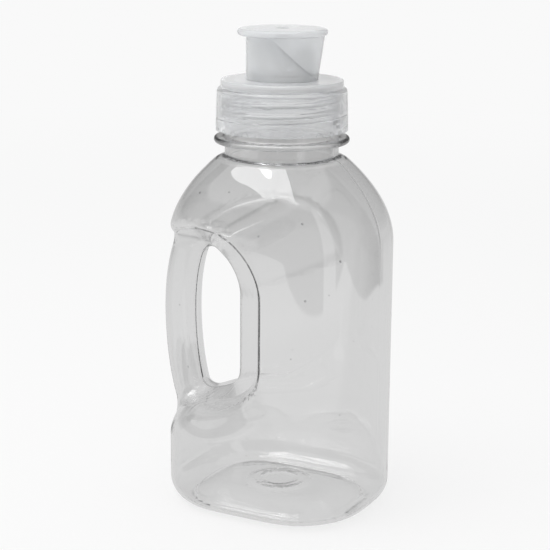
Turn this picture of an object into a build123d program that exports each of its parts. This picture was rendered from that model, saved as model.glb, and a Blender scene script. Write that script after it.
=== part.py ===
from build123d import *
from math import cos, hypot, radians, sin
import os

# A clear blow-moulded bottle with a through-handle, a threaded cap and a push-pull spout.
# Millimetres. The origin is on the neck's axis, on the surface the bottle stands on.
# +Z is up and the handle is on the -X side. The parting plane is y = 0.

# Body
body_half_length = 34.2
body_half_depth = 29.2
body_corner_wish = 25.0
body_side_flat = 3.0
body_wall = 0.9
heel_radius = 7.2
wall_height = 84.8
shoulder_rise = 28.0
shoulder_sections = 6

# Base, pushed up inside a narrow standing ring
standing_ring = 1.0
base_step = 0.6
base_dome = 4.2
base_wall = 1.1
gate_ring_radius = 9.45
gate_ring_rise = 0.6
crown_flat = 0.1
gate_button_radius = 5.5
gate_button_height = 0.5

# Neck and its thread
neck_radius = 17.6
neck_wall = 1.5
neck_flare = 0.24
neck_height = 20.0
support_ring_reach = 3.36
support_ring_height = 3.5
support_ring_gap = 2.1
thread_pitch = 3.175
thread_turns = 2.4
thread_depth = 1.15
thread_root = 1.5
thread_crest = 0.8
thread_embed = 0.3
thread_below_rim = 2.0

# Window through the body: its edge on the parting plane, and its edge on the body's face
window_right = -14.4
window_bottom = 33.8
window_bevel = 72.2
window_top = 81.0
window_top_left = -24.8
window_corners = (6.0, 7.0, 3.0)
recess_right = 8.0
recess_bottom = 33.0
recess_bevel = 86.5
recess_top = 93.0
recess_top_left = -9.0
recess_corners = (20.0, 11.3, 10.0)
recess_rounding = 3.0

# Hollow grip that closes the window on the -X side
grip_length = 10.4
grip_depth = 15.0
grip_route = ((-26.5, 19.0), (-31.2, 28.6), (-35.7, 58.0), (-32.2, 80.5), (-24.0, 93.5))
grip_blend = 3.0

# Screw cap
skirt_gap = 1.2
skirt_wall = 1.3
skirt_draft = 0.4
skirt_rounding = 1.0
deck_setback = 1.15
deck_wall = 1.5
deck_step = 2.5
deck_edge = 0.5
cap_thread_turns = 1.6
cap_thread_clearance = 0.35
notch_count = 26
notch_radius = 1.1
notch_depth = 0.5

# Sealing ring in the cap
liner_thickness = 0.7
liner_width = 2.9
liner_clearance = 0.3

# Spud: the hollow stem on the cap that the spout slides on
spud_radius = 9.2
spud_wall = 1.2
spud_height = 10.3
spud_bead = 0.6
spud_bead_height = 1.6
spud_bead_drop = 1.1
spud_bead_slope = 0.4
spoke_count = 3
spoke_width = 2.2
spoke_height = 1.4
plug_radius = 1.9
plug_boss = 1.2
plug_recess = 0.2
plug_clearance = 0.1

# Spout
spout_wall = 1.0
spout_clearance = 0.3
spout_height = 15.4
spout_lip_height = 1.5
spout_lip_slope = 0.6
flange_radius = 13.8
flange_height = 2.1
flange_rounding = 1.0
crown_wall = 1.8
flare_radius = 12.9
flare_foot = 0.5
flare_rise = 10.1
flare_tilt = 43.1
flare_turn = 27.6
flare_embed = 0.5

# Heights and radii that follow from the sizes above
body_corner = min(body_corner_wish, body_half_depth - body_side_flat)
shoulder_top = wall_height + shoulder_rise
shoulder_end = neck_radius + neck_flare
support_ring_radius = neck_radius + support_ring_reach
ring_bottom = shoulder_top + support_ring_gap
ring_top = ring_bottom + support_ring_height
rim_height = shoulder_top + neck_height
neck_bore = neck_radius - neck_wall
thread_top = rim_height - thread_below_rim
skirt_foot = ring_top + skirt_gap
deck_underside = rim_height + liner_thickness
deck_top = deck_underside + deck_wall
skirt_head = deck_top - deck_step
thread_foot = thread_top - thread_turns * thread_pitch
skirt_bore = neck_radius + thread_depth + cap_thread_clearance
skirt_foot_radius = skirt_bore + skirt_wall
skirt_head_radius = skirt_foot_radius - skirt_draft
deck_radius = skirt_head_radius - deck_setback
hat_bore = neck_radius + liner_clearance
hat_step = skirt_head - skirt_wall
spud_bore = spud_radius - spud_wall
spud_top = deck_top + spud_height
spud_bead_top = spud_top - spud_bead_drop
spud_bead_bottom = spud_bead_top - spud_bead_height
spout_lip_bore = spud_radius + spout_clearance
spout_bore = spud_radius + spud_bead + spout_clearance
spout_radius = spout_bore + spout_wall
spout_top = deck_top + spout_height
flange_bottom = spout_top - flange_height
crown_underside = spout_top - crown_wall
far = 2 * body_half_length
touch = 0.001


def shoulder_share(height):
    """How far the plan at this height has gone from the body's outline to the round neck."""
    return (max(0.0, height - wall_height) / shoulder_rise) ** 2


def lean_factor(height):
    """Keeps the wall's thickness where the shoulder leans in."""
    rise = max(0.0, height - wall_height) / shoulder_rise
    return hypot(1, 2 * (body_half_length - shoulder_end) * rise / shoulder_rise)


def body_plan(height, inset):
    """One level of the body: a rounded rectangle that turns into the neck's circle."""
    share = shoulder_share(height)
    inward = inset * lean_factor(height)
    half_length = body_half_length + (shoulder_end - body_half_length) * share - inward
    half_depth = body_half_depth + (shoulder_end - body_half_depth) * share - inward
    corner = body_corner + (neck_radius - body_corner) * share - inward
    with BuildSketch(Plane.XY.offset(height)) as plan:
        RectangleRounded(2 * half_length, 2 * half_depth, corner)
    return plan.sketch


def body_form(inset, floor):
    """The body without the handle: solid, and smaller all round by the inset."""
    shoulder_step = shoulder_rise / (shoulder_sections - 1)
    levels = [wall_height + level * shoulder_step for level in range(shoulder_sections)]
    with BuildPart() as form:
        loft([body_plan(floor, inset), body_plan(wall_height, inset)], ruled=True)
        fillet(form.edges().group_by(Axis.Z)[0], heel_radius - inset)
        loft([body_plan(level, inset) for level in levels])
    return form.part


def base_form(grow):
    """The hollow under the base, larger by the given thickness."""
    inset = heel_radius + standing_ring - grow
    half_length = body_half_length - inset
    half_depth = body_half_depth - inset
    corner = body_corner - inset
    centre = gate_ring_radius + grow
    narrowest = 2 * centre + crown_flat
    taper = min(half_length, half_depth) - centre
    with BuildPart() as form:
        with BuildSketch(Plane.XY.offset(-base_dome)):
            RectangleRounded(2 * half_length, 2 * half_depth, corner)
        extrude(amount=base_dome + base_step + grow)
        with BuildSketch(Plane.XY.offset(base_step + grow)):
            RectangleRounded(2 * half_length, 2 * half_depth, corner)
        with BuildSketch(Plane.XY.offset(base_dome + grow)):
            RectangleRounded(
                max(2 * (half_length - taper), narrowest),
                max(2 * (half_depth - taper), narrowest),
                centre,
            )
        loft(ruled=True)
        with BuildSketch(Plane.XY.offset(base_dome + grow)):
            Circle(centre)
        extrude(amount=gate_ring_rise)
    return form.part


def window_outline(distance, grow):
    """The window's edge at a distance from the parting plane. It runs out past the -X side."""
    share = abs(distance) / body_half_depth

    def between(start, end):
        return start + (end - start) * share

    right = between(window_right, recess_right) + grow
    bottom = between(window_bottom, recess_bottom) - grow
    bevel = between(window_bevel, recess_bevel) + grow
    top = between(window_top, recess_top) + grow
    top_left = between(window_top_left, recess_top_left) + grow
    corners = [between(a, b) + grow for a, b in zip(window_corners, recess_corners)]
    points = [(-far, bottom), (right, bottom), (right, bevel), (top_left, top), (-far, top)]
    side = Plane(origin=(0, distance, 0), x_dir=(1, 0, 0), z_dir=(0, -1, 0))
    with BuildSketch(side) as outline:
        with BuildLine():
            FilletPolyline(*points, radius=corners)
            Line(points[-1], points[0])
        make_face()
    return outline.sketch


def window_form(grow):
    """The space that the two mould halves close off beside the grip, one loft to each side."""
    slope = (recess_right - window_right) / body_half_depth
    reach = body_half_depth * 1.1
    spread = grow * hypot(1, slope)
    with BuildPart() as form:
        for side in (1, -1):
            loft([window_outline(0, spread), window_outline(side * reach, spread)], ruled=True)
    return form.part


def grip_form(inset):
    """The grip: an oval that follows its bowed centre line into the shoulder and the lower body."""
    with BuildPart() as form:
        with BuildLine() as route:
            Spline(*[(x, 0, z) for x, z in grip_route])
        start = Plane(origin=route.line @ 0, x_dir=(0, 1, 0), z_dir=route.line % 0)
        with BuildSketch(start):
            Ellipse(grip_depth / 2 - inset, grip_length / 2 - inset)
        sweep()
    return form.part


def edges_between(part, first, second):
    """The part's edges that lie on both shapes, found by their middle points."""

    def on_both(edge):
        middle = Vertex(edge @ 0.5)
        return all(
            min(face.distance_to(middle) for face in shape.faces()) < touch
            for shape in (first, second)
        )

    return part.edges().filter_by(on_both)


def windowed_form(inset, floor):
    """The body with the window cut through it and the cut's edges rounded."""
    body = body_form(inset, floor)
    window = window_form(inset)
    with BuildPart() as form:
        add(body)
        add(window, mode=Mode.SUBTRACT)
        fillet(edges_between(form.part, body, window), recess_rounding - inset)
    return form.part


def thread_form(radius, start_height, turns, depth):
    """A helical ridge on a wall of this radius. A negative depth stands out inward."""
    embed = -thread_embed if depth > 0 else thread_embed
    with BuildPart() as form:
        with BuildLine() as route:
            Helix(thread_pitch, turns * thread_pitch, radius, center=(0, 0, start_height))
        start = Plane(origin=route.line @ 0, x_dir=(1, 0, 0), z_dir=route.line % 0)
        with BuildSketch(start):
            with BuildLine():
                Polyline(
                    (embed, -thread_root / 2),
                    (depth, -thread_crest / 2),
                    (depth, thread_crest / 2),
                    (embed, thread_root / 2),
                    close=True,
                )
            make_face()
        sweep(is_frenet=True)
    return form.part


# Bottle
outer_body = windowed_form(0, 0)
inner_body = windowed_form(body_wall, base_wall)
outer_grip = grip_form(0)
inner_grip = grip_form(body_wall)
outer_base = base_form(0)
inner_base = base_form(base_wall)
neck_thread = thread_form(neck_radius, thread_foot, thread_turns, thread_depth)

with BuildPart() as cavity:
    add(inner_body)
    add(inner_base, mode=Mode.SUBTRACT)
    add(inner_grip)
    with BuildSketch(Plane.XY.offset(shoulder_top - 2 * neck_wall)):
        Circle(neck_bore)
    extrude(amount=neck_height + 3 * neck_wall)

with BuildPart() as bottle:
    add(outer_body)
    add(outer_grip)
    fillet(edges_between(bottle.part, outer_body, outer_grip), grip_blend)
    add(outer_base, mode=Mode.SUBTRACT)
    with BuildSketch(Plane.XY.offset(base_dome + gate_ring_rise)):
        Circle(gate_button_radius)
    extrude(amount=-gate_button_height)
    with BuildSketch(Plane.XY.offset(shoulder_top)):
        Circle(neck_radius)
    extrude(amount=neck_height)
    with BuildSketch(Plane.XY.offset(ring_bottom)):
        Circle(support_ring_radius)
    extrude(amount=support_ring_height)
    ring_edges = bottle.edges().filter_by(
        lambda edge: edge.geom_type == GeomType.CIRCLE
        and abs(edge.radius - support_ring_radius) < 0.01
    )
    fillet(ring_edges, 0.45 * support_ring_height)
    add(neck_thread)
    add(cavity.part, mode=Mode.SUBTRACT)
bottle.part.label = "bottle"

# Screw cap: skirt, raised deck and spud in one revolve
cap_thread = thread_form(
    skirt_bore, thread_foot - thread_pitch / 2, cap_thread_turns, -thread_depth
)

with BuildPart() as screw_cap:
    with BuildSketch(Plane.XZ):
        with BuildLine():
            Polyline(
                (skirt_bore, skirt_foot),
                (skirt_foot_radius, skirt_foot),
                (skirt_head_radius, skirt_head),
                (deck_radius, skirt_head),
                (deck_radius, deck_top),
                (spud_radius, deck_top),
                (spud_radius, spud_bead_bottom),
                (spud_radius + spud_bead, spud_bead_bottom + spud_bead_slope),
                (spud_radius + spud_bead, spud_bead_top - spud_bead_slope),
                (spud_radius, spud_bead_top),
                (spud_radius, spud_top),
                (0, spud_top),
                (0, spud_top - spoke_height),
                (spud_bore, spud_top - spoke_height),
                (spud_bore, deck_underside),
                (hat_bore, deck_underside),
                (hat_bore, hat_step),
                (skirt_bore, hat_step),
                close=True,
            )
        make_face()
    revolve(axis=Axis.Z)
    head_edge = screw_cap.edges().filter_by(
        lambda edge: edge.geom_type == GeomType.CIRCLE
        and abs(edge.radius - skirt_head_radius) < 0.01
    )
    fillet(head_edge, skirt_rounding)
    deck_rim = screw_cap.edges().filter_by(
        lambda edge: edge.geom_type == GeomType.CIRCLE
        and abs(edge.radius - deck_radius) < 0.01
        and abs(edge.center().Z - deck_top) < 0.01
    )
    fillet(deck_rim, deck_edge)
    with BuildSketch(Plane.XY.offset(spud_top)):
        Circle(spud_bore)
        Circle(plug_radius + plug_boss, mode=Mode.SUBTRACT)
        with PolarLocations(spud_bore / 2, spoke_count):
            Rectangle(spud_bore + spoke_width, spoke_width, mode=Mode.SUBTRACT)
    extrude(amount=-spoke_height, mode=Mode.SUBTRACT)
    with BuildSketch(Plane.XY.offset(spud_top)):
        Circle(plug_radius)
    extrude(amount=spout_top - plug_recess - spud_top)
    with Locations((0, 0, skirt_foot)):
        with PolarLocations(skirt_bore, notch_count):
            Cylinder(notch_radius, 2 * notch_depth, rotation=(0, 90, 0), mode=Mode.SUBTRACT)
    add(cap_thread)
screw_cap.part.label = "screw_cap"

# Spout
with BuildPart() as flare:
    with BuildSketch(Plane.XZ):
        with BuildLine():
            Polyline(
                (spout_radius - flare_embed, deck_top + flare_foot),
                (spout_radius, deck_top + flare_foot),
                (flare_radius, flange_bottom),
                (flare_radius, flange_bottom + flare_embed),
                (spout_radius - flare_embed, flange_bottom + flare_embed),
                close=True,
            )
        make_face()
    revolve(axis=Axis.Z)
    slant = Plane(
        origin=(0, 0, deck_top + flare_rise),
        z_dir=(
            sin(radians(flare_tilt)) * cos(radians(flare_turn)),
            sin(radians(flare_tilt)) * sin(radians(flare_turn)),
            cos(radians(flare_tilt)),
        ),
    )
    split(bisect_by=slant, keep=Keep.TOP)

with BuildPart() as nozzle:
    with BuildSketch(Plane.XZ):
        with BuildLine():
            Polyline(
                (spout_lip_bore, deck_top),
                (spout_radius, deck_top),
                (spout_radius, flange_bottom),
                (flange_radius, flange_bottom),
                (flange_radius, spout_top),
                (plug_radius + plug_clearance, spout_top),
                (plug_radius + plug_clearance, crown_underside),
                (spout_bore, crown_underside),
                (spout_bore, deck_top + spout_lip_height + spout_lip_slope),
                (spout_lip_bore, deck_top + spout_lip_height),
                close=True,
            )
        make_face()
    revolve(axis=Axis.Z)
    flange_edges = nozzle.edges().filter_by(
        lambda edge: edge.geom_type == GeomType.CIRCLE
        and abs(edge.radius - flange_radius) < 0.01
    )
    fillet(flange_edges, flange_rounding)
    add(flare.part)
nozzle.part.label = "nozzle"

# Sealing ring between the rim and the deck
with BuildPart() as seal_liner:
    with BuildSketch(Plane.XY.offset(rim_height)):
        Circle(hat_bore - liner_clearance)
        Circle(hat_bore - liner_clearance - liner_width, mode=Mode.SUBTRACT)
    extrude(amount=liner_thickness)
seal_liner.part.label = "seal_liner"

os.makedirs("parts", exist_ok=True)
for piece in (bottle, screw_cap, nozzle, seal_liner):
    export_step(piece.part, f"parts/{piece.part.label}.step")
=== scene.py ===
"""Looks for a clear handle bottle with a translucent push-pull cap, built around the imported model.

Named sizes are millimetres unless a name says otherwise. Blender objects are in metres. The
row frame has its origin on the neck's axis at the table, +Z up and the handle on the -X side.
"""

import bmesh
import bpy
import numpy as np
from mathutils import Matrix, Vector


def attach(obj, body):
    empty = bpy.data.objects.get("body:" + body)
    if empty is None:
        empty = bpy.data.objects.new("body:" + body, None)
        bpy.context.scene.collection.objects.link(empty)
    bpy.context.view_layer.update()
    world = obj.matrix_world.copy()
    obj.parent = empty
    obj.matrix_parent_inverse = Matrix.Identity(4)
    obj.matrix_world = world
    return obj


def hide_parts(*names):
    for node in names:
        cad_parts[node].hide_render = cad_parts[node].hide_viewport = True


MM = 0.001
TINY = 1e-9

# Body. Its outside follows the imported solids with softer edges, and its wall is thinner than theirs
BODY_HALF_LENGTH = 34.2
BODY_HALF_DEPTH = 29.2
BODY_CORNER = 25.0
CORNER_EASE = 7.0
BODY_WALL = 0.6
HEEL_RADIUS = 7.2
WALL_HEIGHT = 84.8
SHOULDER_RISE = 28.0
SHOULDER_END = 17.84
SHOULDER_FLAT = 1.0
SHOULDER_FLAT_ROUNDING = 1.5
SHOULDER_TOP = WALL_HEIGHT + SHOULDER_RISE

# Base, pushed up inside a narrow standing ring
STANDING_RING = 1.0
BASE_STEP = 0.7
BASE_STEP_SPREAD = 0.8
BASE_DOME = 4.2
BASE_WALL = 1.1
BASE_EDGE_ROUNDING = 0.4
GATE_RING_RADIUS = 9.45
GATE_RING_RISE = 0.7
GATE_RING_SPREAD = 1.6
GATE_BUTTON_RADIUS = 5.5
GATE_BUTTON_DROP = 0.5
GATE_BUTTON_SPREAD = 1.0
HEEL_CLEARANCE = 1.2
HEEL_CLEARANCE_FROM_TO = (0.2, 1.6)

# Neck
NECK_RADIUS = 17.6
NECK_BORE = 16.1
NECK_BLEND = 0.8
NECK_OVERLAP = 3.0
BORE_OVERLAP = 4.0
BORE_BLEND = 1.6
CAVITY_FLOOR_ROUNDING = 1.0
RIM_HEIGHT = 132.8
RING_RADIUS = 20.96
RING_BOTTOM = 115.75
RING_TOP = 117.55
RING_ROOT = 0.3
RING_ROUNDNESS = 0.9
RING_OVERLAP = 0.5
THREAD_PITCH = 3.175
THREAD_TURNS = 2.4
THREAD_TOP = 130.8
THREAD_DEPTH = 1.15
THREAD_ROOT = 1.5
THREAD_CREST = 0.8
THREAD_ROUNDING = 0.3
THREAD_BLEND = 0.2
THREAD_END = 0.5

# Window: its edge on the parting plane, then how far each value moves by the body's face
WINDOW_RIGHT = (-14.4, 22.8)
WINDOW_BOTTOM = (33.8, -2.6)
WINDOW_BEVEL = (72.2, 14.3)
WINDOW_TOP = (81.0, 12.0)
WINDOW_TOP_LEFT = (-24.8, 15.8)
WINDOW_CORNERS = ((6.0, 14.0), (13.0, 4.0), (8.0, 10.0))
RIDGE_ROUNDING = 0.8
EDGE_ROUNDING = 0.6
LOW_ROUNDING = 7.5
LOW_ROUNDING_FADE = (33.0, 48.0)
HIGH_ROUNDING = 2.0
HIGH_ROUNDING_RISE = (70.0, 90.0)
FLOOR_FALL = 3.2
FLOOR_FALL_START_END = (-18.0, -33.0)
WELD_DEPTH = 0.22
WELD_SPREAD = 0.7
WELD_ACROSS_RISE = (0.0, 4.0)
WELD_ACROSS_FADE = (8.0, 12.0)
WELD_HEIGHT_RISE = (28.0, 36.0)
WELD_HEIGHT_FADE = (76.0, 86.0)
PARTING_RISE = 0.1
PARTING_SPREAD = 0.4
PARTING_FAINT = 0.1
PARTING_CLEAR_ACROSS = (5.0, 15.0)
PARTING_CLEAR_HEIGHT = (82.0, 92.0)

# Air bubbles shut in the wall: x and z on the near side, and radius
BUBBLES = (
    (-16.1, 101.7, 0.42), (-5.1, 103.2, 0.3), (19.4, 96.1, 0.42), (7.2, 91.9, 0.34),
    (29.3, 84.9, 0.42), (21.5, 73.4, 0.4), (27.1, 74.9, 0.2), (17.8, 55.5, 0.24), (18.1, 58.4, 0.16),
    (29.7, 37.1, 0.24), (6.3, 42.5, 0.22), (9.3, 36.9, 0.16), (3.6, 23.0, 0.2), (33.8, 78.8, 0.18),
    (33.8, 71.0, 0.18), (33.8, 62.2, 0.16), (-33.4, 60.7, 0.26), (-30.9, 39.9, 0.3), (-7.2, 98.1, 0.18),
    (18.4, 109.3, 0.16), (-0.8, 95.3, 0.16), (31.9, 59.6, 0.16), (13.7, 30.4, 0.16),
    (23.3, 23.8, 0.14),
)
BUBBLE_DEPTH = 0.3
BUBBLE_SCALE = 0.85
BUBBLE_FLATNESS = 0.4

# Wrinkles on the recess's floor, where the mould pinched the plastic off
WRINKLE_HEIGHT = 0.02
WRINKLE_LENGTH = 3.2
WRINKLE_FROM_TO = (-25.0, -11.0)
WRINKLE_END_FADE = 4.0
WRINKLE_HEIGHT_RISE = (27.0, 30.0)
WRINKLE_HEIGHT_FADE = (34.5, 36.5)
WRINKLE_DEPTH_FADE = (-7.0, -3.0)
WRINKLE_SLANT = 0.5
WRINKLE_SWAYS = ((1.3, 0.45), (0.8, 0.9))

# Grip: its centre line through (x, z) points, and its oval section
GRIP_ROUTE = ((-26.5, 19.0), (-31.2, 28.6), (-35.7, 58.0), (-32.2, 80.5), (-24.0, 93.5))
GRIP_LENGTH = 10.4
GRIP_DEPTH = 15.0
GRIP_BLEND = 4.0
GRIP_END_ROUNDING = 2.0

# Mesh: how far below the rim the cut reaches, and what counts as a bubble or as the flat rim
CUT_REACH = 4.0
OFF_SURFACE = 0.02
RIM_SLACK = 0.01
FLAT_FACING = 0.99

# Materials
NOISE_DETAIL = 3.0
CLOUD_TURN = (0.35, 0.65)


def smooth_step(value, start, end):
    """0 at start, 1 at end, and a smooth turn between them."""
    t = np.clip((value - start) / (end - start), 0, 1)
    return t * t * (3 - 2 * t)


def fade_out(value, start, end):
    """1 at start, 0 at end, and a smooth turn between them."""
    return smooth_step(-value, -end, -start)


def turn_at(value, place, spread):
    """0 before a place and 1 after it, with the turn spread to both sides."""
    return smooth_step(value, place - spread, place + spread)


def ramp(value, ease):
    """Zero below, the value itself above, and a parabola within the ease on both sides."""
    eased = (np.clip(value, -ease, ease) + ease) ** 2 / (4 * ease)
    return np.where(value > ease, value, eased)


def overlap_rounded(a, b, radius):
    """Distance to what is inside both shapes, with the edge between them rounded."""
    u, v = np.maximum(radius + a, 0), np.maximum(radius + b, 0)
    return np.minimum(-radius, np.maximum(a, b)) + np.hypot(u, v)


def joined_rounded(a, b, radius):
    """Distance to what is inside either shape, with the corner between them filled."""
    u, v = np.maximum(radius - a, 0), np.maximum(radius - b, 0)
    return np.maximum(radius, np.minimum(a, b)) - np.hypot(u, v)


def rounded_rectangle(x, y, half_x, half_y, corner):
    """Distance to a rounded rectangle's edge, whose sides turn gently into its corners."""
    dx, dy = np.abs(x) - half_x + corner, np.abs(y) - half_y + corner
    outside = np.hypot(ramp(dx, CORNER_EASE), ramp(dy, CORNER_EASE))
    return outside + np.minimum(np.maximum(dx, dy) + CORNER_EASE, 0) - corner


def body_distance(x, y, z):
    """The body without its window: straight walls, a rounded heel and a shoulder to the neck."""
    rise = np.clip((z - WALL_HEIGHT) / SHOULDER_RISE, 0, 1)
    share = rise**2
    half_x = BODY_HALF_LENGTH + (SHOULDER_END - BODY_HALF_LENGTH) * share
    half_y = BODY_HALF_DEPTH + (SHOULDER_END - BODY_HALF_DEPTH) * share
    corner = BODY_CORNER + (NECK_RADIUS - BODY_CORNER) * share
    reach = np.hypot(x, y) + TINY
    fall = ((BODY_HALF_LENGTH - SHOULDER_END) * x**2 + (BODY_HALF_DEPTH - SHOULDER_END) * y**2) / reach**2
    lean = np.hypot(1, 2 * fall * rise / SHOULDER_RISE)
    side = rounded_rectangle(x, y, half_x, half_y, corner) / lean
    standing = overlap_rounded(side, -z, HEEL_RADIUS)
    return overlap_rounded(standing, z - SHOULDER_TOP + SHOULDER_FLAT, SHOULDER_FLAT_ROUNDING)


def window_distance(x, y, z):
    """The space beside the grip that the two mould halves close off."""
    share = (np.hypot(y, RIDGE_ROUNDING) - RIDGE_ROUNDING) / BODY_HALF_DEPTH

    def at(edge):
        return edge[0] + edge[1] * share

    def slope(edge):
        return np.hypot(1, edge[1] / BODY_HALF_DEPTH)

    right, bottom, bevel, top, top_left = map(
        at, (WINDOW_RIGHT, WINDOW_BOTTOM, WINDOW_BEVEL, WINDOW_TOP, WINDOW_TOP_LEFT)
    )
    across, up = right - top_left, top - bevel
    length = np.hypot(across, up)
    to_right = (x - right) / slope(WINDOW_RIGHT)
    fall = FLOOR_FALL * smooth_step(x, *FLOOR_FALL_START_END)
    to_bottom = bottom - fall - z
    to_bevel = ((x - right) * up + (z - bevel) * across) / length / slope(WINDOW_TOP_LEFT)
    to_top = (z - top) / slope(WINDOW_TOP)
    low_corner, side_corner, top_corner = map(at, WINDOW_CORNERS)
    low = overlap_rounded(to_right, to_bottom, low_corner)
    high = overlap_rounded(to_bevel, to_top, top_corner * (1 - across / length))
    return overlap_rounded(low, high, side_corner * (1 - up / length))


def grip_line(z):
    """Where the grip's centre line is at a height, and how much it leans there."""
    route = np.array(GRIP_ROUTE)
    middle = route[:, 1].mean()
    curve = np.polyfit((route[:, 1] - middle) / middle, route[:, 0], len(route) - 1)
    level = (np.clip(z, route[0, 1], route[-1, 1]) - middle) / middle
    return np.polyval(curve, level), np.hypot(1, np.polyval(np.polyder(curve), level) / middle)


def grip_distance(x, y, z):
    """The oval grip, along a smooth curve through the route's points."""
    centre, lean = grip_line(z)
    across = (x - centre) / lean
    half_x, half_y = GRIP_LENGTH / 2, GRIP_DEPTH / 2
    oval = np.hypot(across / half_x, y / half_y)
    pull = np.hypot(across / half_x**2, y / half_y**2) + TINY
    side = oval * (oval - 1) / pull
    foot, head = GRIP_ROUTE[0][1], GRIP_ROUTE[-1][1]
    ends = np.abs(z - (head + foot) / 2) - (head - foot) / 2
    return overlap_rounded(side, ends, GRIP_END_ROUNDING)


def edge_rounding(z):
    """How round the recess's outer edge is: wide over the floor and under the shoulder."""
    low = LOW_ROUNDING * fade_out(z, *LOW_ROUNDING_FADE)
    high = HIGH_ROUNDING * smooth_step(z, *HIGH_ROUNDING_RISE)
    return EDGE_ROUNDING + low + high


def base_height(x, y):
    """Height of the base's underside above the table."""
    inset = HEEL_RADIUS + STANDING_RING
    half_x, half_y = BODY_HALF_LENGTH - inset, BODY_HALF_DEPTH - inset
    inward = -rounded_rectangle(x, y, half_x, half_y, BODY_CORNER - inset)
    share = np.clip(inward / (half_y - GATE_RING_RADIUS), 0, 1)
    height = BASE_STEP * turn_at(inward, 0, BASE_STEP_SPREAD)
    height = height + (BASE_DOME - BASE_STEP) * share * (2 - share)
    reach = np.hypot(x, y)
    height = height + GATE_RING_RISE * turn_at(-reach, -GATE_RING_RADIUS, GATE_RING_SPREAD)
    height = height - GATE_BUTTON_DROP * turn_at(-reach, -GATE_BUTTON_RADIUS, GATE_BUTTON_SPREAD)
    return height - HEEL_CLEARANCE * smooth_step(-inward, *HEEL_CLEARANCE_FROM_TO)


def thread_distance(x, y, z):
    """The helical ridge on the neck."""
    turn = np.arctan2(y, x) / (2 * np.pi)
    foot = THREAD_TOP - THREAD_TURNS * THREAD_PITCH
    winding = np.round((z - foot) / THREAD_PITCH - turn)
    at = turn + winding
    at = np.where(at < -0.5, at + 1, at)
    past = (at - np.clip(at, 0, THREAD_TURNS)) * 2 * np.pi * NECK_RADIUS
    out = np.hypot(x, y) - NECK_RADIUS
    along = np.abs(z - foot - at * THREAD_PITCH)
    flank = (THREAD_ROOT - THREAD_CREST) / 2 / THREAD_DEPTH
    side = along - THREAD_ROOT / 2 + flank * np.clip(out, 0, THREAD_DEPTH)
    ridge = overlap_rounded(out - THREAD_DEPTH, side, THREAD_ROUNDING)
    return overlap_rounded(ridge, np.abs(past) - THREAD_END, THREAD_ROUNDING)


def handle_body_distance(x, y, z):
    """Body, window and grip together."""
    cut = overlap_rounded(body_distance(x, y, z), -window_distance(x, y, z), edge_rounding(z))
    return joined_rounded(cut, grip_distance(x, y, z), GRIP_BLEND)


def parting_rise(x, y, z):
    """The fine raised line where the mould halves meet, clearest on the shoulder away from the grip."""
    clear = smooth_step(x, *PARTING_CLEAR_ACROSS) * smooth_step(z, *PARTING_CLEAR_HEIGHT)
    share = PARTING_FAINT + (1 - PARTING_FAINT) * clear
    return PARTING_RISE * share * np.exp(-((y / PARTING_SPREAD) ** 2))


def wrinkle_rise(x, y, z):
    """Uneven creases on the near side of the recess's floor."""
    start, end = WRINKLE_FROM_TO
    place = smooth_step(x, start, start + WRINKLE_END_FADE) * fade_out(x, end - WRINKLE_END_FADE, end)
    place = place * fade_out(z, *WRINKLE_HEIGHT_FADE) * smooth_step(z, *WRINKLE_HEIGHT_RISE)
    place = place * fade_out(y, *WRINKLE_DEPTH_FADE)
    (sway_y, rate_y), (sway_x, rate_x) = WRINKLE_SWAYS
    side = np.abs(y)
    phase = x + WRINKLE_SLANT * side + sway_y * np.sin(rate_y * side) + sway_x * np.sin(rate_x * x)
    return WRINKLE_HEIGHT * place * np.sin(2 * np.pi * phase / WRINKLE_LENGTH)


def outer_distance(x, y, z):
    """The bottle's outside, with the neck running on past the rim."""
    body = handle_body_distance(x, y, z) - parting_rise(x, y, z) - wrinkle_rise(x, y, z)
    body = overlap_rounded(body, base_height(x, y) - z, BASE_EDGE_ROUNDING)
    reach = np.hypot(x, y)
    neck = np.maximum(reach - NECK_RADIUS, SHOULDER_TOP - NECK_OVERLAP - z)
    bottle = joined_rounded(body, neck, NECK_BLEND)
    ring_middle, ring_half = (RING_TOP + RING_BOTTOM) / 2, (RING_TOP - RING_BOTTOM) / 2
    ring_faces = np.abs(z - ring_middle) - ring_half
    ring = overlap_rounded(reach - RING_RADIUS, ring_faces, RING_ROUNDNESS * ring_half)
    ring = np.maximum(ring, NECK_BORE + RING_OVERLAP - reach)
    bottle = joined_rounded(bottle, ring, RING_ROOT)
    return joined_rounded(bottle, thread_distance(x, y, z), THREAD_BLEND)


def weld_thickness(x, y, z):
    """Extra wall along the grip's inner side, where the two mould halves pinch shut."""
    across = x - grip_line(z)[0]
    beside_grip = smooth_step(across, *WELD_ACROSS_RISE) * fade_out(across, *WELD_ACROSS_FADE)
    around = beside_grip * smooth_step(z, *WELD_HEIGHT_RISE) * fade_out(z, *WELD_HEIGHT_FADE)
    return WELD_DEPTH * around * np.exp(-((y / WELD_SPREAD) ** 2))


def cavity_distance(x, y, z):
    """The space inside the bottle, with the bore running on past the rim."""
    body = handle_body_distance(x, y, z)
    wall = BODY_WALL + weld_thickness(x, y, z)
    floor = base_height(x, y) + BASE_WALL - z
    hollow = overlap_rounded(body + wall, floor, CAVITY_FLOOR_ROUNDING)
    bore = np.maximum(np.hypot(x, y) - NECK_BORE, SHOULDER_TOP - BORE_OVERLAP - z)
    return joined_rounded(hollow, bore, BORE_BLEND)


def gradient(distance, points, step=0.02):
    """Direction in which a distance grows, at each point."""
    columns = []
    for axis in range(3):
        offset = np.zeros(3)
        offset[axis] = step
        ahead, behind = points + offset, points - offset
        columns.append((distance(*ahead.T) - distance(*behind.T)) / (2 * step))
    return np.stack(columns, axis=1)


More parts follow.
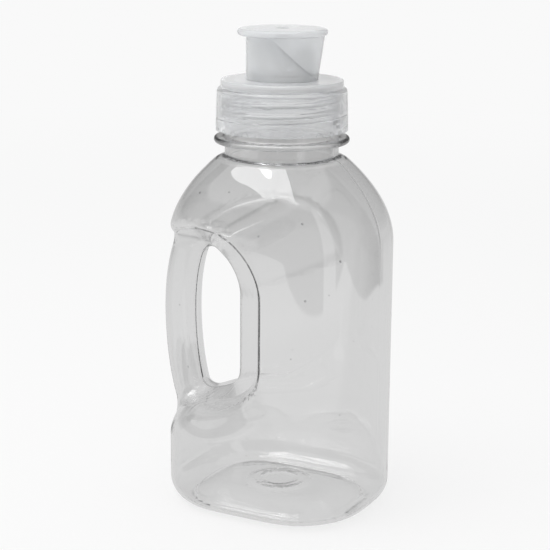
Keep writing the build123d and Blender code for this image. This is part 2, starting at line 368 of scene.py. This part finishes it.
def spaced(start, *runs):
    """Positions from a start through runs of (end, step), each run evenly divided."""
    positions = [start]
    for end, step in runs:
        count = round((end - positions[-1]) / step)
        positions.extend(np.linspace(positions[-1], end, count + 1)[1:])
    return np.array(positions)


def grid_lines():
    """Sample positions, closer at the handle, the parting plane, the base and the neck."""
    xs = spaced(-43.0, (-33.0, 1.1), (-26.0, 0.6), (-16.0, 0.9), (-12.0, 0.5), (5.0, 1.2), (11.0, 0.45),
                (37.0, 1.5))
    ys = spaced(-31.0, (-27.0, 0.45), (-6.0, 1.3), (-1.5, 0.9), (1.5, 0.375), (6.0, 0.9), (27.0, 1.3),
                (31.0, 0.45))
    zs = spaced(-1.5, (7.0, 0.65), (29.0, 1.7), (38.0, 0.8), (76.0, 2.1), (90.0, 1.0), (109.5, 1.4),
                (115.0, 0.5), (118.2, 0.4), (135.5, 0.55))
    return xs, ys, zs


def surface_net(distance):
    """Points and four-sided faces on the surface where a distance is zero."""
    lines = grid_lines()
    shape = tuple(len(line) for line in lines)
    grid = np.meshgrid(*lines, indexing="ij")
    field = distance(*grid)
    inside = field < 0
    cells = tuple(n - 1 for n in shape)
    total = np.zeros(cells + (3,))
    count = np.zeros(cells)
    corner_slices = [slice(0, -1), slice(1, None)]
    crossings = []
    for axis in range(3):
        low = [slice(None)] * 3
        high = [slice(None)] * 3
        low[axis], high[axis] = corner_slices
        start, end = field[tuple(low)], field[tuple(high)]
        crossed = inside[tuple(low)] != inside[tuple(high)]
        share = np.where(crossed, start / np.where(crossed, start - end, 1), 0)
        where = np.stack([g[tuple(low)] for g in grid], axis=-1)
        span = grid[axis][tuple(high)] - grid[axis][tuple(low)]
        where[..., axis] += share * span
        others = [a for a in range(3) if a != axis]
        for first in (0, 1):
            for second in (0, 1):
                pick = [slice(None)] * 3
                pick[others[0]] = corner_slices[first]
                pick[others[1]] = corner_slices[second]
                total += where[tuple(pick)] * crossed[tuple(pick)][..., None]
                count += crossed[tuple(pick)]
        crossings.append((crossed, inside[tuple(low)]))
    used = count > 0
    number = -np.ones(cells, int)
    number[used] = np.arange(used.sum())
    points = total[used] / count[used][:, None]
    faces = []
    for axis, (crossed, starts_inside) in enumerate(crossings):
        first, second = (axis + 1) % 3, (axis + 2) % 3
        index = np.argwhere(crossed)
        keep = (index[:, first] > 0) & (index[:, second] > 0)
        keep &= (index[:, first] < cells[first]) & (index[:, second] < cells[second])
        index = index[keep]
        outward = starts_inside[tuple(index.T)]
        loops = []
        for back_first, back_second in ((1, 1), (0, 1), (0, 0), (1, 0)):
            corner = index.copy()
            corner[:, first] -= back_first
            corner[:, second] -= back_second
            loops.append(number[tuple(corner.T)])
        quads = np.stack(loops, axis=1)
        quads[~outward] = quads[~outward][:, ::-1]
        faces.append(quads)
    return points, np.concatenate(faces)


def settle(distance, points, passes=4, least_slope=0.05, longest_move=0.5):
    """Moves points along the slope until they lie on the surface."""
    for _ in range(passes):
        slope = gradient(distance, points)
        size = np.maximum((slope**2).sum(axis=1), least_slope)
        move = -(distance(*points.T) / size)[:, None] * slope
        reach = np.linalg.norm(move, axis=1, keepdims=True)
        points = points + move * np.minimum(1, longest_move / np.maximum(reach, TINY))
    return points


def ball(centre, radius, around=10, rows=7, pole_gap=0.12):
    """A small flattened sphere that is hollow in the plastic: its faces look inwards."""
    turns = np.linspace(0, 2 * np.pi, around, endpoint=False)
    tilts = np.linspace(pole_gap, np.pi - pole_gap, rows)
    turn, tilt = np.meshgrid(turns, tilts)
    unit = np.stack([np.sin(tilt) * np.cos(turn), np.sin(tilt) * np.sin(turn), np.cos(tilt)], axis=-1)
    points = np.asarray(centre) + radius * unit.reshape(-1, 3) * (1, BUBBLE_FLATNESS, 1)
    faces = []
    for row in range(rows - 1):
        for step in range(around):
            following = (step + 1) % around
            low, high = row * around, (row + 1) * around
            faces.append((low + step, low + following, high + following, high + step))
    return points, np.array(faces)


def bubble_centres():
    """Bubble places inside the wall, found straight in from the body's near side."""
    places = np.array([(x, z) for x, z, _ in BUBBLES])
    depths = np.linspace(-BODY_HALF_DEPTH, 0, 600)
    centres = []
    for x, z in places:
        inside = outer_distance(x + 0 * depths, depths, z + 0 * depths) < -BUBBLE_DEPTH
        centres.append((x, depths[np.argmax(inside)], z))
    return centres


def add_mesh(name, points, faces):
    """A mesh object from millimetre points and faces with the same number of corners."""
    mesh = bpy.data.meshes.new(name)
    mesh.from_pydata((points * MM).tolist(), [], faces.tolist())
    mesh.update()
    thing = bpy.data.objects.new(name, mesh)
    bpy.context.scene.collection.objects.link(thing)
    return thing


def cut_at_rim(shape, height):
    """Removes what is above the rim and returns the open edge."""
    low = [v for v in shape.verts if v.co.z > height - CUT_REACH * MM]
    edges = {e for v in low for e in v.link_edges}
    near = {f for v in low for f in v.link_faces}
    cut = bmesh.ops.bisect_plane(
        shape,
        geom=low + list(edges) + list(near),
        plane_co=(0, 0, height),
        plane_no=(0, 0, 1),
        clear_outer=True,
    )
    return [e for e in cut["geom_cut"] if isinstance(e, bmesh.types.BMEdge)]


def build_bottle():
    """The bottle's outside and inside as one closed mesh, joined at the rim."""
    outer_points, outer_faces = surface_net(outer_distance)
    inner_points, inner_faces = surface_net(cavity_distance)
    outer_points = settle(outer_distance, outer_points)
    inner_points = settle(cavity_distance, inner_points)
    count = len(outer_points)
    points = np.concatenate([outer_points, inner_points])
    faces = np.concatenate([outer_faces, inner_faces[:, ::-1] + count])
    for centre, (_, _, radius) in zip(bubble_centres(), BUBBLES):
        ball_points, ball_faces = ball(centre, BUBBLE_SCALE * radius)
        faces = np.concatenate([faces, ball_faces + len(points)])
        points = np.concatenate([points, ball_points])
    bottle = add_mesh("clear_bottle", points, faces)
    shape = bmesh.new()
    shape.from_mesh(bottle.data)
    rim_edges = cut_at_rim(shape, RIM_HEIGHT * MM)
    bmesh.ops.bridge_loops(shape, edges=rim_edges)
    shape.normal_update()
    shape.to_mesh(bottle.data)
    shape.free()
    bottle.data.polygons.foreach_set("use_smooth", [True] * len(bottle.data.polygons))
    return bottle


def exact_normals(bottle):
    """Shades the bottle by the surfaces' own slopes instead of by its faces."""
    mesh = bottle.data
    places = np.empty(len(mesh.vertices) * 3)
    mesh.vertices.foreach_get("co", places)
    places = places.reshape(-1, 3) / MM
    outer_gap = np.abs(outer_distance(*places.T))
    inner_gap = np.abs(cavity_distance(*places.T))
    outer_slope = gradient(outer_distance, places)
    inner_slope = -gradient(cavity_distance, places)
    chosen = np.where((outer_gap < inner_gap)[:, None], outer_slope, inner_slope)
    smooth = np.empty(len(mesh.vertices) * 3)
    mesh.vertices.foreach_get("normal", smooth)
    on_bubble = np.minimum(outer_gap, inner_gap) > OFF_SURFACE
    chosen[on_bubble] = smooth.reshape(-1, 3)[on_bubble]
    chosen /= np.maximum(np.linalg.norm(chosen, axis=1, keepdims=True), TINY)
    corner_vertices = np.empty(len(mesh.loops), int)
    mesh.loops.foreach_get("vertex_index", corner_vertices)
    corner_normals = chosen[corner_vertices]
    rim_level = (RIM_HEIGHT - RIM_SLACK) * MM
    for face in mesh.polygons:
        if abs(face.normal.z) > FLAT_FACING and face.center.z > rim_level:
            corner_normals[list(face.loop_indices)] = face.normal
    mesh.normals_split_custom_set(corner_normals.tolist())


def new_material(name, color, roughness, ior, transmission):
    """A material whose even values sit on the shader itself."""
    material = bpy.data.materials.new(name)
    material.use_nodes = True
    shader = material.node_tree.nodes["Principled BSDF"]
    shader.inputs["Base Color"].default_value = (*color, 1)
    shader.inputs["Roughness"].default_value = roughness
    shader.inputs["IOR"].default_value = ior
    shader.inputs["Transmission Weight"].default_value = transmission
    return material


def absorb_light(material, color, density):
    """Dims light by the length of its way through the plastic."""
    nodes, links = material.node_tree.nodes, material.node_tree.links
    depth = nodes.new("ShaderNodeVolumeAbsorption")
    depth.inputs["Color"].default_value = (*color, 1)
    depth.inputs["Density"].default_value = density
    links.new(depth.outputs[0], nodes["Material Output"].inputs["Volume"])


def noise_node(nodes, links, scale):
    """Soft noise in the object's own coordinates."""
    place = nodes.new("ShaderNodeTexCoord")
    noise = nodes.new("ShaderNodeTexNoise")
    noise.inputs["Scale"].default_value = scale
    noise.inputs["Detail"].default_value = NOISE_DETAIL
    links.new(place.outputs["Object"], noise.inputs["Vector"])
    return noise.outputs["Fac"]


def add_waviness(material, scale, strength, distance):
    """Very shallow unevenness, as moulded plastic has."""
    nodes, links = material.node_tree.nodes, material.node_tree.links
    bump = nodes.new("ShaderNodeBump")
    bump.inputs["Strength"].default_value = strength
    bump.inputs["Distance"].default_value = distance
    links.new(noise_node(nodes, links, scale), bump.inputs["Height"])
    links.new(bump.outputs[0], nodes["Principled BSDF"].inputs["Normal"])


def cloud_color(material, scale, low, high):
    """A base colour that drifts between two near values."""
    nodes, links = material.node_tree.nodes, material.node_tree.links
    blend = nodes.new("ShaderNodeValToRGB")
    for element, position, color in zip(blend.color_ramp.elements, CLOUD_TURN, (low, high)):
        element.position = position
        element.color = (*color, 1)
    links.new(noise_node(nodes, links, scale), blend.inputs["Fac"])
    links.new(blend.outputs[0], nodes["Principled BSDF"].inputs["Base Color"])


def milky_above(material, start, end, low, high):
    """Less light passes the thicker plastic above a height, in metres, than below it."""
    nodes, links = material.node_tree.nodes, material.node_tree.links
    place = nodes.new("ShaderNodeTexCoord")
    parts = nodes.new("ShaderNodeSeparateXYZ")
    links.new(place.outputs["Object"], parts.inputs[0])
    step = nodes.new("ShaderNodeMapRange")
    step.inputs["From Min"].default_value = start
    step.inputs["From Max"].default_value = end
    step.inputs["To Min"].default_value = low
    step.inputs["To Max"].default_value = high
    links.new(parts.outputs["Z"], step.inputs["Value"])
    links.new(step.outputs[0], nodes["Principled BSDF"].inputs["Transmission Weight"])


def dress(thing, material):
    """Puts one material on an object."""
    thing.data.materials.clear()
    thing.data.materials.append(material)


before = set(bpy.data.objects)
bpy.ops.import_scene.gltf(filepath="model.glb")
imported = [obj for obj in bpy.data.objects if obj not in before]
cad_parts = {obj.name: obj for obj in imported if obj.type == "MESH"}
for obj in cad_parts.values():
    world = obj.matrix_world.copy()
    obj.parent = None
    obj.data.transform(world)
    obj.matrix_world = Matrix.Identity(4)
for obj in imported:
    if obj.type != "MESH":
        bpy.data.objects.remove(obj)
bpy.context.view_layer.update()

clear_plastic = new_material("clear_plastic", (1.0, 1.0, 1.0), roughness=0.0, ior=1.57, transmission=1.0)
absorb_light(clear_plastic, (0.5, 0.505, 0.51), density=12.0)
add_waviness(clear_plastic, scale=55.0, strength=0.05, distance=0.0004)
cap_plastic = new_material("cap_plastic", (0.95, 0.96, 0.97), roughness=0.08, ior=1.45, transmission=0.75)
cloud_color(cap_plastic, 90.0, (0.93, 0.94, 0.955), (0.965, 0.972, 0.98))
milky_above(cap_plastic, start=0.1325, end=0.134, low=0.8, high=0.42)
add_waviness(cap_plastic, scale=120.0, strength=0.03, distance=0.0002)
spout_plastic = new_material("spout_plastic", (0.95, 0.96, 0.97), roughness=0.12, ior=1.45, transmission=0.55)
cloud_color(spout_plastic, 110.0, (0.93, 0.945, 0.96), (0.965, 0.975, 0.985))
add_waviness(spout_plastic, scale=140.0, strength=0.05, distance=0.0002)
liner_foam = new_material("liner_foam", (0.9, 0.9, 0.9), roughness=0.8, ior=1.45, transmission=0.0)
cloud_color(liner_foam, 900.0, (0.86, 0.86, 0.86), (0.94, 0.94, 0.94))
add_waviness(liner_foam, scale=1500.0, strength=0.3, distance=0.0002)

bottle = build_bottle()
exact_normals(bottle)
dress(bottle, clear_plastic)
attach(bottle, "bottle")
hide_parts("bottle")
dress(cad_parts["screw_cap"], cap_plastic)
dress(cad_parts["nozzle"], spout_plastic)
dress(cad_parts["seal_liner"], liner_foam)

# Camera, at the photograph's place
AZIMUTH = np.radians(27.63)
PITCH = np.radians(13.913)
ROLL = np.radians(0.399)
CAMERA_PLACE = (223.56, -430.97, 193.49)
LENS = 103.98
SENSOR_WIDTH = 36
CLIP = (0.01, 50)

# Studio, as levels where 1 is white, and as directions in degrees from +X
FLOOR_HALF_SIZE = 6000.0
WHITE = 0.947
TABLE = 0.93
TABLE_BEHIND = 0.7
TABLE_THROUGH = 0.65
TABLE_FRONT = (0.08, 0.12)
TABLE_FADE = (0.15, 0.9)
FRONT = (np.sin(AZIMUTH), -np.cos(AZIMUTH))
TABLE_EDGE_SPREAD = 0.015
TABLE_SIDES = ((0.70, -0.71, 0.275), (0.75, 0.66, 0.284))
DARK = 0.04
DARK_SPANS = ((-116, -32), (-15, 62))
DARK_WING = (-22, 70)
DARK_WING_FOOT = (0.04, 0.14)
DARK_TOP = (0.5, 0.77)
DARK_TOP_TURN = (-118, -100)
DARK_TOP_SPREAD = 0.03
STRIP = 0.75
BACK_WALL = 0.65
BACK_WALL_HIGH = 0.15
BACK_WALL_TURN = (-0.08, 0.12)
BACK_THROUGH = 0.455
CEILING = 0.55
EDGE_SOFTNESS = 3.0
SHADOW_SHARE = 0.85
SHADOW_FADE = (0.3, 0.9)
SOFT_ROOM = 0.8
SOFTBOX_PLACE = (-0.209, -0.299, 0.75)
SOFTBOX_TURN = np.radians(28.8)
SOFTBOX_SIZE = (0.664, 0.54)
SOFTBOX_POWER = 3.0
SOFTBOX_CORE = 0.16
SOFTBOX_CORE_POWER = 0.25
SOFTBOX_CORE_DROP = 0.01
MOST_BOUNCES = 96


def add_camera():
    """The photograph's viewpoint, with its slight roll."""
    level_right = Vector((np.cos(AZIMUTH), np.sin(AZIMUTH), 0))
    level_ahead = Vector((-np.sin(AZIMUTH), np.cos(AZIMUTH), 0))
    ahead = level_ahead * np.cos(PITCH) - Vector((0, 0, np.sin(PITCH)))
    level_up = level_ahead * np.sin(PITCH) + Vector((0, 0, np.cos(PITCH)))
    right = level_right * np.cos(ROLL) + level_up * np.sin(ROLL)
    up = level_up * np.cos(ROLL) - level_right * np.sin(ROLL)
    camera = bpy.data.objects.new("camera", bpy.data.cameras.new("camera"))
    bpy.context.scene.collection.objects.link(camera)
    turn = Matrix((right, up, -ahead)).transposed()
    camera.matrix_world = Matrix.Translation(Vector(CAMERA_PLACE) * MM) @ turn.to_4x4()
    camera.data.lens = LENS
    camera.data.sensor_width = SENSOR_WIDTH
    camera.data.clip_start, camera.data.clip_end = CLIP
    bpy.context.scene.camera = camera


def add_lamp(name, shape, size, power, drop=0.0):
    """A flat lamp that faces straight down over the front left of the bottle."""
    lamp = bpy.data.lights.new(name, "AREA")
    lamp.shape = shape
    lamp.size, lamp.size_y = size
    lamp.energy = power
    thing = bpy.data.objects.new(name, lamp)
    bpy.context.scene.collection.objects.link(thing)
    thing.location = Vector(SOFTBOX_PLACE) - Vector((0, 0, drop))
    thing.rotation_euler = (0, 0, SOFTBOX_TURN)


def math_node(nodes, links, operation, first, second=None, third=None, clamp=False):
    """One arithmetic node, fed by sockets or numbers."""
    node = nodes.new("ShaderNodeMath")
    node.operation = operation
    node.use_clamp = clamp
    for socket, value in zip(node.inputs, (first, second, third)):
        if isinstance(value, bpy.types.NodeSocket):
            links.new(value, socket)
        elif value is not None:
            socket.default_value = value
    return node.outputs[0]


def step_node(nodes, links, value, start, end):
    """0 before start, 1 after end, smooth between."""
    node = nodes.new("ShaderNodeMapRange")
    node.interpolation_type = "SMOOTHSTEP"
    node.inputs["From Min"].default_value = start
    node.inputs["From Max"].default_value = end
    links.new(value, node.inputs["Value"])
    return node.outputs["Result"]


def ray_share(nodes, links, wanted):
    """1 for the named kinds of ray, 0 for the others."""
    rays = nodes.new("ShaderNodeLightPath")
    share = rays.outputs[wanted[0]]
    for name in wanted[1:]:
        share = math_node(nodes, links, "MAXIMUM", share, rays.outputs[name])
    return share


def level_mix(nodes, links, share, low, high):
    """A level that runs from low to high with the share."""
    node = nodes.new("ShaderNodeMix")
    node.data_type = "FLOAT"
    links.new(share, node.inputs[0])
    for socket, value in ((node.inputs[2], low), (node.inputs[3], high)):
        if isinstance(value, bpy.types.NodeSocket):
            links.new(value, socket)
        else:
            socket.default_value = value
    return node.outputs[0]


def soft_rays(nodes, links):
    """1 for rays from matt or frosted surfaces, 0 for those from clear ones and the camera."""
    rays = nodes.new("ShaderNodeLightPath")
    sharp = math_node(nodes, links, "MAXIMUM", rays.outputs["Is Singular Ray"], rays.outputs["Is Camera Ray"])
    return math_node(nodes, links, "SUBTRACT", 1.0, sharp)


def span_node(nodes, links, value, span, softness):
    """1 within a span, 0 outside, with soft ends."""
    start, end = span
    rise = step_node(nodes, links, value, start - softness / 2, start + softness / 2)
    fall = step_node(nodes, links, value, end - softness / 2, end + softness / 2)
    return math_node(nodes, links, "SUBTRACT", rise, fall)


def heading_node(nodes, links, x, y):
    """The direction of a flat vector, in degrees from +X."""
    angle = math_node(nodes, links, "ARCTAN2", y, x)
    return math_node(nodes, links, "DEGREES", angle)


def dark_headings(nodes, links, heading):
    """1 towards the unlit parts of the room in front of the table."""
    spans = [span_node(nodes, links, heading, span, EDGE_SOFTNESS) for span in DARK_SPANS]
    return math_node(nodes, links, "ADD", *spans)


def back_headings(nodes, links, heading):
    """1 towards the backdrop."""
    start = DARK_SPANS[-1][1]
    return step_node(nodes, links, heading, start - EDGE_SOFTNESS / 2, start + EDGE_SOFTNESS / 2)


def add_world():
    """White to the camera, and a dim room with a pale backdrop to what the plastic mirrors."""
    world = bpy.data.worlds.new("studio")
    world.use_nodes = True
    bpy.context.scene.world = world
    nodes, links = world.node_tree.nodes, world.node_tree.links
    direction = nodes.new("ShaderNodeTexCoord")
    parts = nodes.new("ShaderNodeSeparateXYZ")
    links.new(direction.outputs["Generated"], parts.inputs[0])
    rise = parts.outputs["Z"]
    heading = heading_node(nodes, links, parts.outputs["X"], parts.outputs["Y"])
    dark = dark_headings(nodes, links, heading)
    away_x = math_node(nodes, links, "MULTIPLY", parts.outputs["X"], -1.0)
    away_y = math_node(nodes, links, "MULTIPLY", parts.outputs["Y"], -1.0)
    away = heading_node(nodes, links, away_x, away_y)
    wing = span_node(nodes, links, away, DARK_WING, EDGE_SOFTNESS)
    wing = math_node(nodes, links, "MULTIPLY", wing, step_node(nodes, links, rise, *DARK_WING_FOOT))
    dark = math_node(nodes, links, "MAXIMUM", dark, wing)
    turn = step_node(nodes, links, heading, *DARK_TOP_TURN)
    top = level_mix(nodes, links, turn, *DARK_TOP)
    over = math_node(nodes, links, "SUBTRACT", rise, top)
    above = step_node(nodes, links, over, -DARK_TOP_SPREAD, DARK_TOP_SPREAD)
    high = step_node(nodes, links, rise, *BACK_WALL_TURN)
    back_seen = level_mix(nodes, links, high, BACK_WALL, BACK_WALL_HIGH)
    through = ray_share(nodes, links, ["Is Transmission Ray"])
    back = level_mix(nodes, links, through, back_seen, BACK_THROUGH)
    behind = back_headings(nodes, links, heading)
    room = level_mix(nodes, links, behind, STRIP, back)
    room = level_mix(nodes, links, dark, room, DARK)
    room = level_mix(nodes, links, above, room, CEILING)
    room = level_mix(nodes, links, soft_rays(nodes, links), room, SOFT_ROOM)
    camera = ray_share(nodes, links, ["Is Camera Ray"])
    level = level_mix(nodes, links, camera, room, WHITE)
    background = nodes["Background"]
    links.new(level, background.inputs["Color"])


def add_floor():
    """A wide pale floor that glows as well as being lit. The camera sees it evenly white, a painted white
    glow over 15 percent real lit shading, so a soft shadow stays near the bottle. Rays that pass straight
    through or off the clear plastic see only the glow: painted room levels, brighter on the table in front,
    dimmer behind and far off, and dark past the table's edges, with no shadow.
    """
    side = FLOOR_HALF_SIZE
    points = np.array([(-side, -side, 0), (side, -side, 0), (side, side, 0), (-side, side, 0)])
    floor = add_mesh("floor", points, np.array([(0, 1, 2, 3)]))
    material = new_material("floor_white", (0.9, 0.9, 0.9), roughness=0.9, ior=1.45, transmission=0.0)
    nodes, links = material.node_tree.nodes, material.node_tree.links
    lit = nodes["Principled BSDF"]
    place = nodes.new("ShaderNodeNewGeometry")
    parts = nodes.new("ShaderNodeSeparateXYZ")
    links.new(place.outputs["Position"], parts.inputs[0])
    flat = nodes.new("ShaderNodeVectorMath")
    flat.operation = "LENGTH"
    links.new(place.outputs["Position"], flat.inputs[0])
    reach = flat.outputs["Value"]
    over_sides = []
    for side_x, side_y, distance in TABLE_SIDES:
        over = math_node(nodes, links, "MULTIPLY", parts.outputs["X"], side_x)
        over = math_node(nodes, links, "MULTIPLY_ADD", parts.outputs["Y"], side_y, over)
        over_sides.append(step_node(nodes, links, over, distance, distance + TABLE_EDGE_SPREAD))
    off_table = math_node(nodes, links, "MAXIMUM", *over_sides)
    heading = heading_node(nodes, links, parts.outputs["X"], parts.outputs["Y"])
    dark = dark_headings(nodes, links, heading)
    dark = math_node(nodes, links, "MULTIPLY", dark, off_table)
    through = ray_share(nodes, links, ["Is Transmission Ray"])
    far_level = level_mix(nodes, links, through, BACK_WALL, BACK_THROUGH)
    far = step_node(nodes, links, reach, *TABLE_FADE)
    to_front = math_node(nodes, links, "MULTIPLY", parts.outputs["X"], FRONT[0])
    to_front = math_node(nodes, links, "MULTIPLY_ADD", parts.outputs["Y"], FRONT[1], to_front)
    ahead = step_node(nodes, links, to_front, *TABLE_FRONT)
    behind_level = level_mix(nodes, links, through, TABLE_BEHIND, TABLE_THROUGH)
    near_level = level_mix(nodes, links, ahead, behind_level, TABLE)
    level = level_mix(nodes, links, far, near_level, far_level)
    level = level_mix(nodes, links, dark, level, DARK)
    camera = ray_share(nodes, links, ["Is Camera Ray"])
    level = level_mix(nodes, links, camera, level, WHITE)
    # Painted light: the floor's glow, white to the camera and painted room levels to the clear plastic's
    # mirrored and refracted rays
    glow = nodes.new("ShaderNodeEmission")
    links.new(level, glow.inputs["Color"])
    horizon = step_node(nodes, links, reach, *SHADOW_FADE)
    camera_share = level_mix(nodes, links, horizon, SHADOW_SHARE, 1.0)
    share = level_mix(nodes, links, camera, ray_share(nodes, links, ["Is Singular Ray"]), camera_share)
    mix = nodes.new("ShaderNodeMixShader")
    links.new(share, mix.inputs[0])
    links.new(lit.outputs[0], mix.inputs[1])
    links.new(glow.outputs[0], mix.inputs[2])
    links.new(mix.outputs[0], nodes["Material Output"].inputs["Surface"])
    dress(floor, material)


add_camera()
add_world()
add_floor()
add_lamp("softbox", "RECTANGLE", SOFTBOX_SIZE, SOFTBOX_POWER)
core_size = (SOFTBOX_CORE, SOFTBOX_CORE)
add_lamp("softbox_core", "ELLIPSE", core_size, SOFTBOX_CORE_POWER, SOFTBOX_CORE_DROP)

view_settings = bpy.context.scene.view_settings
view_settings.view_transform = "Standard"
cycles = bpy.context.scene.cycles
cycles.max_bounces = MOST_BOUNCES
cycles.transmission_bounces = MOST_BOUNCES
cycles.glossy_bounces = MOST_BOUNCES
